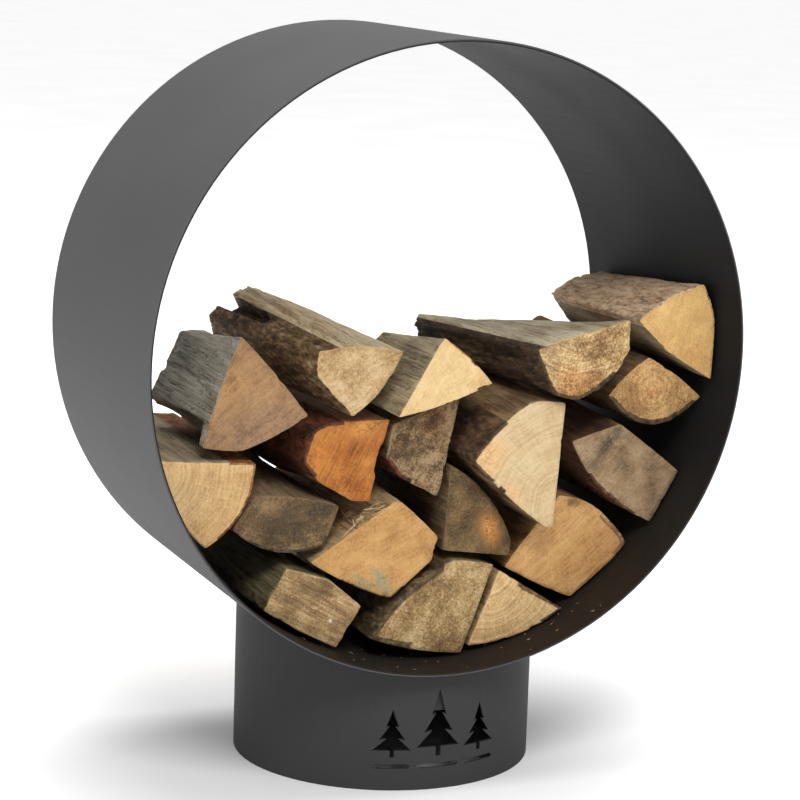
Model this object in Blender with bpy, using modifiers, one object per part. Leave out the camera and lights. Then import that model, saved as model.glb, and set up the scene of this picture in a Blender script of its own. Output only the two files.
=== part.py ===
"""Firewood log rack: an open steel drum on its side, on a short round pedestal, stocked with split logs.

Units are metres, +Z is up. The origin is on the floor under the centre of the pedestal.
The drum's axis runs along Y and its front mouth faces -Y.
"""

import math

import bmesh
import bpy
from mathutils import Matrix, Vector

MM = 0.001

# Driving dimensions
DRUM_RADIUS = 0.300
DRUM_DEPTH = 0.330
DRUM_SHEET = 0.003
DRUM_CENTRE_Z = 0.417
DRUM_SEGMENTS = 144

PEDESTAL_RADIUS = 0.148
PEDESTAL_SHEET = 0.003
PEDESTAL_SEGMENTS = 96

BASE_RING_WIDTH = 0.026
BASE_RING_THICKNESS = 0.003

STRAP_WIDTH = 0.050
STRAP_THICKNESS = 0.004
STRAP_LEG = 0.040

BOLT_RADIUS = 0.004
BOLT_LENGTH = 0.022
BOLT_HEAD_RADIUS = 0.008
BOLT_HEAD_HEIGHT = 0.0033
BOLT_HEAD_BRIM = 0.25
BOLT_TIP_ROUND = 0.001
FASTENER_SEGMENTS = 20
BOLT_ROWS_Y = (-0.075, -0.025, 0.025, 0.075)
HOLE_RADIUS = 0.0045
WASHER_RADIUS = 0.0085
WASHER_THICKNESS = 0.0016
NUT_ACROSS_FLATS = 0.013
NUT_HEIGHT = 0.0065
NUT_EDGE_ROUND = 0.0004

# The emblem's trees: name, place along X, width and height. A tier is its reach, as a share of the half
# width, and its level, as a share of the height.
EMBLEM_TREES = (("left", -0.045, 0.036, 0.048), ("middle", 0.0, 0.044, 0.066), ("right", 0.045, 0.036, 0.048))
EMBLEM_FOOT_Z = 0.033
EMBLEM_LINE = 0.0045
EMBLEM_CUT_DEPTH = 0.060
TREE_TIERS = ((0.34, 0.62), (0.68, 0.36), (1.00, 0.14))
TREE_TRUNK = 0.12
TREE_NOTCH = 0.45
TREE_NOTCH_RISE = 0.03
GROUND_SHARE = 0.95

HOLE_CUTTER_DEPTH = 0.040
SADDLE_CUTTER_SPARE = 0.033
PEDESTAL_SPARE = 0.010
GAP = 0.0003
EDGE_ROUND = 0.0006
MERGE = 0.00001
ARC_STEPS = 6

# Derived places
DRUM_INNER_RADIUS = DRUM_RADIUS - DRUM_SHEET
DRUM_UNDERSIDE_Z = DRUM_CENTRE_Z - DRUM_RADIUS
DRUM_FLOOR_Z = DRUM_CENTRE_Z - DRUM_INNER_RADIUS
PEDESTAL_INNER_RADIUS = PEDESTAL_RADIUS - PEDESTAL_SHEET
STRAP_TOP_Z = DRUM_UNDERSIDE_Z - GAP

# Split logs. Each row gives the name, the wood, the front and back ends along Y, and the corners of the
# front end. A corner is (x, z, crown) in millimetres, where crown is how far the stretch up to the next
# corner bows outward: large on bark, almost nothing on a split face. The last entry is the back end's
# corners where the log tapers or twists, or None where it runs straight back.
LOGS = (
    ("log_left_upper", "wood_grey", -110, 70,
     ((-193, 440, 2), (-126, 363, 3), (-194, 332, 1), (-231, 337, 3)),
     ((-197, 417, 0), (-172, 418, 0), (-130, 361, 0), (-150, 332, 0), (-192, 326, 0), (-231, 340, 0),
      (-228, 354, 0))),
    ("log_knotty_top", "wood_tan", -112, 130,
     ((-119, 424, 5), (-33, 421, 7), (-84, 361, 0), (-99, 380, 2), (-121, 402, 1)),
     ((-149, 424, 0), (-133, 438, 0), (-110, 453, 0), (-91, 446, 0), (-45, 428, 0), (-84, 368, 0),
      (-104, 364, 0), (-128, 375, 0), (-142, 392, 0))),
    ("log_pale_wedge", "wood_pale", -130, 20,
     ((1, 436, 3), (51, 391, 4), (-45, 362, 0), (-4, 431, 0)),
     ((-3, 418, 2), (46, 384, 0), (-46, 359, 0), (-8, 414, 0))),
    ("log_top_half", "wood_tan", -142, 90,
     ((90, 424, 0), (193, 448, 0), (193, 422, 9), (135, 373, 2), (107, 382, 1)),
     ((64, 424, 0), (90, 421, 0), (188, 411, 0), (185, 392, 0), (130, 376, 0), (62, 386, 0), (57, 408, 0))),
    ("log_right_upper", "wood_pale", -120, 125,
     ((209, 445, 5), (280, 479, 3), (294, 437, 0), (291, 384, 0), (242, 413, 0)),
     ((229, 436, 0), (256, 453, 0), (290, 458, 0), (294, 430, 0), (290, 386, 0), (252, 405, 0))),
    ("log_right_round", "wood_tan", -107, 146,
     ((185, 369, 3), (229, 406, 3), (289, 364, 29)),
     ((182, 367, 3), (228, 410, 3), (288, 366, 29))),
    ("log_right_block", "wood_grey", -112, 140,
     ((146, 327, 1), (199, 342, 1), (266, 291, 1), (236, 241, 13)),
     ((146, 331, 1), (199, 350, 1), (267, 294, 1), (236, 242, 13))),
    ("log_centre_quarter", "wood_pale", -135, 125,
     ((31, 317, 6), (95, 373, 1), (128, 370, 0), (118, 249, 0), (110, 248, 3)),
     ((25, 318, 0), (36, 359, 0), (46, 373, 0), (58, 379, 0), (104, 376, 0), (128, 371, 0), (118, 249, 0),
      (109, 249, 2))),
    ("log_centre_block", "wood_grey", -105, 140,
     ((-40, 350, 0), (30, 374, 0), (11, 285, 0), (7, 278, 0), (-31, 298, 0), (-46, 318, 0)), None),
    ("log_orange", "wood_orange", -105, 150,
     ((-130, 319, 0), (-125, 339, 4), (-102, 355, 0), (-42, 355, 0), (-62, 277, 0), (-80, 278, 0),
      (-113, 298, 0)),
     ((-140, 318, 0), (-134, 345, 3), (-102, 357, 0), (-43, 354, 0), (-63, 277, 0), (-82, 278, 0),
      (-120, 296, 0))),
    ("log_left_slab", "wood_grey", -108, 148,
     ((-200, 258, 2), (-175, 288, 4), (-92, 274, 1), (-107, 237, 14)),
     ((-200, 256, 0), (-176, 300, 0), (-162, 316, 0), (-92, 274, 0), (-107, 238, 14))),
    ("log_left_half", "wood_pale", -115, 140,
     ((-280, 329, 0), (-179, 321, 14), (-228, 243, 3), (-263, 288, 2)), None),
    ("log_bottom_block", "wood_grey", -118, 145,
     ((-148, 220, 1), (-104, 206, 0), (-71, 178, 0), (-96, 139, 2), (-171, 181, 0)),
     ((-156, 226, 0), (-140, 226, 0), (-104, 207, 0), (-69, 180, 0), (-95, 140, 2), (-180, 188, 0))),
    ("log_low_tan", "wood_tan", -112, 135,
     ((-122, 222, 0), (-33, 279, 1), (9, 240, 0), (3, 217, 0), (-40, 182, 4)),
     ((-120, 220, 0), (-88, 249, 0), (-58, 270, 0), (-34, 286, 0), (-8, 278, 0), (10, 244, 0), (2, 216, 0),
      (-46, 178, 0))),
    ("log_bottom_quarter", "wood_tan", -118, 150,
     ((-62, 145, 11), (26, 217, 1), (67, 210, 0), (33, 124, 4)), None),
    ("log_bottom_wedge", "wood_pale", -116, 138,
     ((73, 203, 0), (142, 160, 8), (41, 130, 0)), None),
    ("log_right_tan", "wood_orange", -102, 152,
     ((84, 202, 0), (92, 214, 0), (141, 271, 2), (176, 261, 3), (206, 231, 3), (216, 217, 0), (206, 206, 0),
      (156, 167, 2)),
     ((84, 203, 0), (91, 213, 0), (141, 271, 2), (177, 265, 3), (207, 231, 2), (216, 216, 0), (206, 206, 0),
      (155, 167, 2))),
    ("log_centre_dark", "wood_grey", -110, 142,
     ((20, 309, 10), (86, 231, 0), (84, 216, 0), (14, 225, 0)), None),
)

# Colour, roughness and metallic value of each finish
FINISHES = {
    "drum_paint": ((0.130, 0.130, 0.135, 1.0), 0.62, 0.0),
    "pedestal_paint": ((0.045, 0.045, 0.050, 1.0), 0.60, 0.0),
    "zinc_steel": ((0.560, 0.560, 0.550, 1.0), 0.35, 1.0),
    "wood_pale": ((0.640, 0.470, 0.270, 1.0), 0.80, 0.0),
    "wood_tan": ((0.450, 0.300, 0.150, 1.0), 0.82, 0.0),
    "wood_grey": ((0.200, 0.155, 0.110, 1.0), 0.88, 0.0),
    "wood_orange": ((0.520, 0.230, 0.070, 1.0), 0.80, 0.0),
}


def clear_scene():
    for item in list(bpy.data.objects):
        bpy.data.objects.remove(item, do_unlink=True)


def make_collection(name):
    collection = bpy.data.collections.new(name)
    bpy.context.scene.collection.children.link(collection)
    return collection


def make_material(name):
    colour, roughness, metallic = FINISHES[name]
    material = bpy.data.materials.new(name)
    material.use_nodes = True
    shader = material.node_tree.nodes["Principled BSDF"]
    shader.inputs["Base Color"].default_value = colour
    shader.inputs["Roughness"].default_value = roughness
    shader.inputs["Metallic"].default_value = metallic
    material.diffuse_color = colour
    return material


def add_object(name, data, collection, material=None):
    item = bpy.data.objects.new(name, data)
    collection.objects.link(item)
    if material is not None:
        data.materials.append(material)
    return item


def as_cutter(item):
    item.hide_render = True
    item.display_type = "WIRE"
    return item


def cut(item, cutter):
    boolean = item.modifiers.new("cut_" + cutter.name, "BOOLEAN")
    boolean.operation = "DIFFERENCE"
    boolean.object = cutter
    boolean.solver = "EXACT"


def round_edges(item, width):
    bevel = item.modifiers.new("rounded_edges", "BEVEL")
    bevel.width = width
    bevel.segments = 2
    bevel.limit_method = "ANGLE"
    bevel.angle_limit = math.radians(50)


def profile_mesh(name, points, closed):
    """A line of (radius, height) points, ready to be turned about Z."""
    mesh = bpy.data.meshes.new(name)
    edges = [(index, index + 1) for index in range(len(points) - 1)]
    if closed:
        edges.append((len(points) - 1, 0))
    mesh.from_pydata([(radius, 0.0, height) for radius, height in points], edges, [])
    return mesh


def turn(item, segments):
    screw = item.modifiers.new("turned", "SCREW")
    screw.axis = "Z"
    screw.steps = segments
    screw.render_steps = segments
    screw.use_merge_vertices = True
    screw.merge_threshold = MERGE
    screw.use_smooth_shade = True


def turned_ring(name, outer, inner, bottom, top, segments, collection, material):
    """A ring of rectangular section about Z."""
    outline = ((outer, top), (outer, bottom), (inner, bottom), (inner, top))
    item = add_object(name, profile_mesh(name, outline, closed=True), collection, material)
    turn(item, segments)
    return item


def cylinder_mesh(name, radius, depth, segments, places=(Matrix(),)):
    """One upright cylinder at each place."""
    body = bmesh.new()
    for place in places:
        bmesh.ops.create_cone(
            body, cap_ends=True, segments=segments, radius1=radius, radius2=radius, depth=depth, matrix=place
        )
    mesh = bpy.data.meshes.new(name)
    body.to_mesh(mesh)
    body.free()
    return mesh


def curve_plate(name, points, thickness, collection):
    """A flat outline of (u, v) points in the local XY plane, extruded to a plate and made a mesh."""
    curve = bpy.data.curves.new(name, "CURVE")
    curve.dimensions = "2D"
    curve.fill_mode = "BOTH"
    curve.extrude = thickness / 2
    spline = curve.splines.new("POLY")
    spline.points.add(len(points) - 1)
    for point, (u, v) in zip(spline.points, points):
        point.co = (u, v, 0.0, 1.0)
    spline.use_cyclic_u = True
    guide = add_object(name + "_outline", curve, collection)
    evaluated = guide.evaluated_get(bpy.context.evaluated_depsgraph_get())
    mesh = bpy.data.meshes.new_from_object(evaluated)
    bpy.data.objects.remove(guide, do_unlink=True)
    body = bmesh.new()
    body.from_mesh(mesh)
    bmesh.ops.remove_doubles(body, verts=body.verts, dist=MERGE)
    bmesh.ops.recalc_face_normals(body, faces=body.faces)
    body.to_mesh(mesh)
    body.free()
    mesh.name = name
    return mesh


def make_hole_cutter(cutters):
    """Upright bolt holes in one row along Y, through the drum's floor and the strap."""
    places = [Matrix.Translation((0.0, row, DRUM_UNDERSIDE_Z)) for row in BOLT_ROWS_Y]
    mesh = cylinder_mesh("bolt_holes", HOLE_RADIUS, HOLE_CUTTER_DEPTH, FASTENER_SEGMENTS, places)
    return as_cutter(add_object("bolt_holes", mesh, cutters))


def make_drum(parts, cutters, material, holes):
    """One rolled sheet, open at both ends, with softly dressed rims."""
    half = DRUM_DEPTH / 2
    outline = ((DRUM_RADIUS, half), (DRUM_RADIUS, -half))
    drum = add_object("drum_hoop", profile_mesh("drum_hoop", outline, closed=False), parts, material)
    drum.rotation_euler = (math.pi / 2, 0.0, 0.0)
    drum.location = (0.0, 0.0, DRUM_CENTRE_Z)
    turn(drum, DRUM_SEGMENTS)
    wall = drum.modifiers.new("sheet", "SOLIDIFY")
    wall.thickness = DRUM_SHEET
    wall.offset = -1.0
    wall.use_even_offset = True
    round_edges(drum, EDGE_ROUND)
    cut(drum, holes)
    return drum


def tree_outline(width, height):
    """Half of a fir tree in three tiers over a short trunk, mirrored to a closed outline."""
    half = width / 2
    right = [(0.0, height)]
    for reach, level in TREE_TIERS:
        right.append((half * reach, height * level))
        right.append((half * reach * TREE_NOTCH, height * (level + TREE_NOTCH_RISE)))
    right[-1] = (half * TREE_TRUNK, height * TREE_TIERS[-1][1])
    right.append((half * TREE_TRUNK, 0.0))
    left = [(-u, v) for u, v in reversed(right[1:])]
    return right + left


def ground_outline(length, height):
    """A slim slot with round ends."""
    points = []
    radius = height / 2
    for side, start in ((1, -90), (-1, 90)):
        for step in range(9):
            angle = math.radians(start + 22.5 * step)
            points.append((side * (length / 2 - radius) + radius * math.cos(angle), radius * math.sin(angle)))
    return points


def make_emblem_cutters(cutters):
    """Three fir trees, each over its own short ground line, cut through the front of the pedestal."""
    made = []
    for side, x, width, height in EMBLEM_TREES:
        tree = (tree_outline(width, height), EMBLEM_FOOT_Z)
        ground = (ground_outline(width * GROUND_SHARE, EMBLEM_LINE), EMBLEM_FOOT_Z - 2 * EMBLEM_LINE)
        for kind, (outline, z) in (("tree", tree), ("ground", ground)):
            name = "emblem_%s_%s" % (kind, side)
            mesh = curve_plate(name, outline, EMBLEM_CUT_DEPTH, cutters)
            cutter = as_cutter(add_object(name, mesh, cutters))
            cutter.rotation_euler = (math.pi / 2, 0.0, 0.0)
            cutter.location = (x, -PEDESTAL_RADIUS, z)
            made.append(cutter)
    return made


def make_saddle_cutter(cutters):
    """The drum's outside with its fitting gap, which shapes the top of the pedestal."""
    matrix = Matrix.Rotation(math.pi / 2, 4, "X")
    depth = DRUM_DEPTH + 2 * SADDLE_CUTTER_SPARE
    mesh = cylinder_mesh("saddle_cutter", DRUM_RADIUS + GAP, depth, DRUM_SEGMENTS, [matrix])
    cutter = as_cutter(add_object("saddle_cutter", mesh, cutters))
    cutter.location = (0.0, 0.0, DRUM_CENTRE_Z)
    return cutter


def make_pedestal(parts, cutters, material):
    """A rolled tube whose top edge is cut to the drum's curve."""
    top = DRUM_CENTRE_Z - math.sqrt(DRUM_RADIUS ** 2 - PEDESTAL_RADIUS ** 2) + PEDESTAL_SPARE
    pedestal = turned_ring(
        "pedestal_tube", PEDESTAL_RADIUS, PEDESTAL_INNER_RADIUS, 0.0, top, PEDESTAL_SEGMENTS, parts, material
    )
    round_edges(pedestal, EDGE_ROUND)
    cut(pedestal, make_saddle_cutter(cutters))
    for cutter in make_emblem_cutters(cutters):
        cut(pedestal, cutter)
    return pedestal


def make_base_ring(parts, material):
    """A flat flange just inside the foot of the pedestal, which spreads the load on the floor."""
    outer = PEDESTAL_INNER_RADIUS - GAP
    inner = outer - BASE_RING_WIDTH
    return turned_ring(
        "base_ring", outer, inner, 0.0, BASE_RING_THICKNESS, PEDESTAL_SEGMENTS, parts, material
    )


def make_strap(parts, material, holes):
    """A flat bar under the drum's lowest line, bent down at both ends against the pedestal wall."""
    reach = math.sqrt(PEDESTAL_INNER_RADIUS ** 2 - (STRAP_WIDTH / 2) ** 2) - GAP
    top = STRAP_TOP_Z
    inner = reach - STRAP_THICKNESS
    outline = (
        (-reach, top), (reach, top), (reach, top - STRAP_LEG), (inner, top - STRAP_LEG),
        (inner, top - STRAP_THICKNESS), (-inner, top - STRAP_THICKNESS), (-inner, top - STRAP_LEG),
        (-reach, top - STRAP_LEG),
    )
    mesh = curve_plate("saddle_strap", outline, STRAP_WIDTH, parts)
    turned = Matrix(((0, 0, 1, 0), (1, 0, 0, 0), (0, 1, 0, 0), (0, 0, 0, 1)))
    mesh.transform(turned)
    strap = add_object("saddle_strap", mesh, parts, material)
    cut(strap, holes)
    return strap


def make_bolt(index, row, parts, material):
    """A low domed head inside the drum on a plain shank, turned in one piece."""
    head = BOLT_HEAD_HEIGHT
    outline = [(0.0, head)]
    for step in range(1, 5):
        angle = math.radians(22.5 * step)
        rise = BOLT_HEAD_BRIM + (1 - BOLT_HEAD_BRIM) * math.cos(angle)
        outline.append((BOLT_HEAD_RADIUS * math.sin(angle), head * rise))
    outline += [(BOLT_HEAD_RADIUS, 0.0), (BOLT_RADIUS, 0.0), (BOLT_RADIUS, BOLT_TIP_ROUND - BOLT_LENGTH)]
    outline += [(BOLT_RADIUS - BOLT_TIP_ROUND, -BOLT_LENGTH), (0.0, -BOLT_LENGTH)]
    name = "bolt_%d" % index
    bolt = add_object(name, profile_mesh(name, outline, closed=False), parts, material)
    bolt.location = (0.0, row, DRUM_FLOOR_Z + GAP)
    turn(bolt, FASTENER_SEGMENTS)
    return bolt


def make_washer(index, row, parts, material):
    under = STRAP_TOP_Z - STRAP_THICKNESS - GAP
    washer = turned_ring(
        "washer_%d" % index, WASHER_RADIUS, HOLE_RADIUS, -WASHER_THICKNESS, 0.0, FASTENER_SEGMENTS, parts,
        material,
    )
    washer.location = (0.0, row, under)
    return washer


def make_nut(index, row, parts, cutters, material):
    """A hexagon nut with its hole bored clear of the shank."""
    under = STRAP_TOP_Z - STRAP_THICKNESS - WASHER_THICKNESS - 2 * GAP
    corner = NUT_ACROSS_FLATS / 2 / math.cos(math.radians(30))
    name = "nut_%d" % index
    nut = add_object(name, cylinder_mesh(name, corner, NUT_HEIGHT, 6), parts, material)
    nut.location = (0.0, row, under - NUT_HEIGHT / 2)
    round_edges(nut, NUT_EDGE_ROUND)
    mesh = cylinder_mesh(name + "_bore", BOLT_RADIUS + GAP, HOLE_CUTTER_DEPTH, FASTENER_SEGMENTS)
    bore = as_cutter(add_object(name + "_bore", mesh, cutters))
    bore.location = nut.location
    cut(nut, bore)
    return nut


def bowed(start, end, crown):
    """Points from start up to end, bowed out by crown on the left of the way."""
    if crown == 0:
        return [start]
    along = end - start
    outward = Vector((-along.y, along.x)).normalized()
    points = []
    for step in range(ARC_STEPS):
        share = step / ARC_STEPS
        points.append(start + along * share + outward * (4 * crown * share * (1 - share)))
    return points


def section(corners):
    """The outline of a log's end in metres. The corners run clockwise, seen from the front."""
    places = [Vector((x, z)) * MM for x, z, crown in corners]
    points = []
    for index, (x, z, crown) in enumerate(corners):
        following = places[(index + 1) % len(places)]
        points += bowed(places[index], following, crown * MM)
    return points


def make_log(row, parts, material):
    """A split log as the solid between its two end sections."""
    name, wood, front, back, front_corners, back_corners = row
    front_section = section(front_corners)
    back_section = section(back_corners or front_corners)
    middle = sum(front_section, Vector((0.0, 0.0))) / len(front_section)
    origin = Vector((middle.x, front * MM, middle.y))
    body = bmesh.new()
    for level, outline in ((front * MM, front_section), (back * MM, back_section)):
        for point in outline:
            body.verts.new(Vector((point.x, level, point.y)) - origin)
    bmesh.ops.convex_hull(body, input=body.verts)
    spare = [vertex for vertex in body.verts if not vertex.link_faces]
    bmesh.ops.delete(body, geom=spare, context="VERTS")
    bmesh.ops.recalc_face_normals(body, faces=body.faces)
    mesh = bpy.data.meshes.new(name)
    body.to_mesh(mesh)
    body.free()
    mesh.shade_smooth()
    mesh.set_sharp_from_angle(angle=math.radians(30))
    log = add_object(name, mesh, parts, material)
    log.location = origin
    return log


def main():
    clear_scene()
    parts = make_collection("firewood_log_rack")
    cutters = make_collection("cutters")
    materials = {name: make_material(name) for name in FINISHES}
    steel = materials["zinc_steel"]

    holes = make_hole_cutter(cutters)
    make_drum(parts, cutters, materials["drum_paint"], holes)
    make_pedestal(parts, cutters, materials["pedestal_paint"])
    make_base_ring(parts, materials["pedestal_paint"])
    make_strap(parts, materials["pedestal_paint"], holes)
    for index, row in enumerate(BOLT_ROWS_Y, start=1):
        make_bolt(index, row, parts, steel)
        make_washer(index, row, parts, steel)
        make_nut(index, row, parts, cutters, steel)
    for row in LOGS:
        make_log(row, parts, materials[row[1]])


main()
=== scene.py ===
"""Looks of the firewood log rack: charcoal steel, split logs with sawn ends, floor, light and camera.

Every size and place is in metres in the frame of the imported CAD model, unless a comment says millimetres.
A log is rebuilt from the two end sections of its own CAD solid, so it keeps that solid's place, but its
surface isn't quite the solid's. Hollows of up to 15 mm, chips and grain go inwards. Swellings of up to 8 mm
and at most 0.6 mm of grain go outwards. One log also has torn fibres that stand out from it.
"""

import math

import bpy
import numpy as np
from mathutils import Matrix, Vector, noise


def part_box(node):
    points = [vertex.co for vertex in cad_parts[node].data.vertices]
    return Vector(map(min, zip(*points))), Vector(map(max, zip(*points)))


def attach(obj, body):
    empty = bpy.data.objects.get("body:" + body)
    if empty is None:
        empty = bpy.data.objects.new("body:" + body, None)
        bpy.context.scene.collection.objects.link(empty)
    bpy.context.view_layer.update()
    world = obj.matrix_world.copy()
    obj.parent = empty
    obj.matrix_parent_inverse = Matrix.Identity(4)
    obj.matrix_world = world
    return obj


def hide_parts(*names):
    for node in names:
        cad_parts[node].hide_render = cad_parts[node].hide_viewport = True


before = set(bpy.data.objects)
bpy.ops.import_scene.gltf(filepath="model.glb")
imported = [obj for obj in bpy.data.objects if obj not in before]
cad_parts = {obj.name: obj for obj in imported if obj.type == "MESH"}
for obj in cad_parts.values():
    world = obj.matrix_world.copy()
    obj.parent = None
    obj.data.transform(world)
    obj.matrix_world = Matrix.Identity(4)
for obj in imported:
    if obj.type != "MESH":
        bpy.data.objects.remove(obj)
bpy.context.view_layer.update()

MM = 0.001

# Places taken from the frame, and the thickness of the CAD's sheet
DRUM_LOW, DRUM_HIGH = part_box("drum_hoop")
DRUM_RADIUS = (DRUM_HIGH.x - DRUM_LOW.x) / 2
DRUM_CENTRE = (DRUM_LOW + DRUM_HIGH) / 2
DRUM_DEPTH = DRUM_HIGH.y - DRUM_LOW.y
DRUM_SHEET = 3 * MM

# Camera, aimed from the drum's centre: angles in degrees, distances in drum radii, lens in millimetres
CAMERA_AZIMUTH = -22.6
CAMERA_ELEVATION = 10.6
CAMERA_DISTANCE = 8.73
CAMERA_SIDEWAYS = 0.033
CAMERA_UP = -0.215
CAMERA_ROLL = 1.9
CAMERA_LENS = 119.1

# Mesh fineness of a log, and how sharp its long edges stay
AROUND = 200
ALONG = 76
CAP_RINGS = 18
CORNER_SHARPNESS = 70

# Spacing exponents: below 1 crowds an end's rings to its middle, above 1 crowds rows to the front
CAP_SPACING = 0.86
ROW_SPACING = 1.35

# How near its end a CAD corner has to be to count as part of that end
SECTION_TOLERANCE = 0.1 * MM

# How far grain may stand out, how far behind the front it reaches full depth, the share of the length over
# which an end's lean fades, and how many degrees either side of its ends an arc of bark takes to fade
GRAIN_OUTWARDS = 0.6 * MM
CALM_LENGTH = 14 * MM
LEAN_SHARE = 0.25
ARC_SOFTNESS = 3

# Rings on a sawn end: how many noise steps to the metre, and how far they wander in metres
RING_STEPS = 330.0
RING_WANDER = 0.012

# Torn fibres on one log, spread over an arc in degrees counter-clockwise from +X, and crumbs in the drum
SPLINTER_STEPS = 7
SPLINTER_SIDES = 6
TORN_FIBRES = 46
TORN_ARC = (88, 140)
CRUMBS = 34

# How much darker and lighter than its own colour a stain runs
TINT_GAINS = (0.80, 1.0, 1.12)


def paint(red, green, blue):
    """A display colour from 0 to 255 as the linear colour that a shader takes."""
    linear = []
    for value in (red, green, blue):
        share = value / 255
        linear.append(share / 12.92 if share <= 0.04045 else ((share + 0.055) / 1.055) ** 2.4)
    return (*linear, 1.0)


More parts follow.
